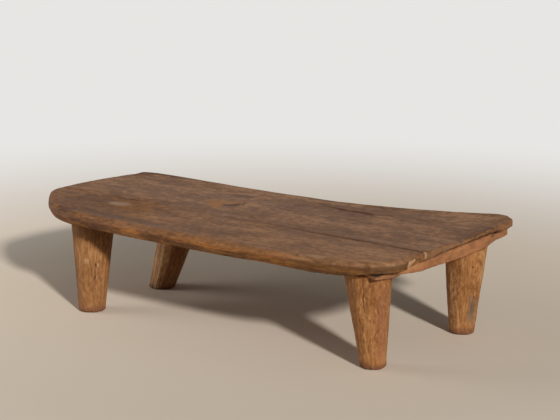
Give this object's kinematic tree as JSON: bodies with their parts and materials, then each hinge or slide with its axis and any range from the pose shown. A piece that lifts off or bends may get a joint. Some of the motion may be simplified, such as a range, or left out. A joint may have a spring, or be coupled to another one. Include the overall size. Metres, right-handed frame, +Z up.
{
  "type": "side table",
  "caption": "Low hand-cut wooden side table: an uneven two-board top, rounded at one end and square at the other, on cross battens with tapered round pegged legs.",
  "frame": {"origin": "middle of the table's outer box, on the floor under the feet", "axes": "+X along the top to the square end, +Y to the back, +Z up"},
  "size_m": [1.1603, 0.5556, 0.2677],
  "materials": {
    "top_wood": "worn satin",
    "batten_wood": "smooth satin",
    "leg_wood": "hand cut, dry",
    "peg_wood": "raw"
  },
  "bodies": {
    "root": {"front_plank": "top_wood", "rear_plank": "top_wood", "plank_dowels": "peg_wood", "left_batten": "batten_wood", "right_batten": "batten_wood", "left_batten_pegs": "peg_wood", "right_batten_pegs": "peg_wood", "leg_front_left": "leg_wood", "leg_front_right": "leg_wood", "leg_back_left": "leg_wood", "leg_back_right": "leg_wood", "wedge_front_left": "peg_wood", "wedge_front_right": "peg_wood", "wedge_back_left": "peg_wood", "wedge_back_right": "peg_wood"}
  },
  "joints": []
}
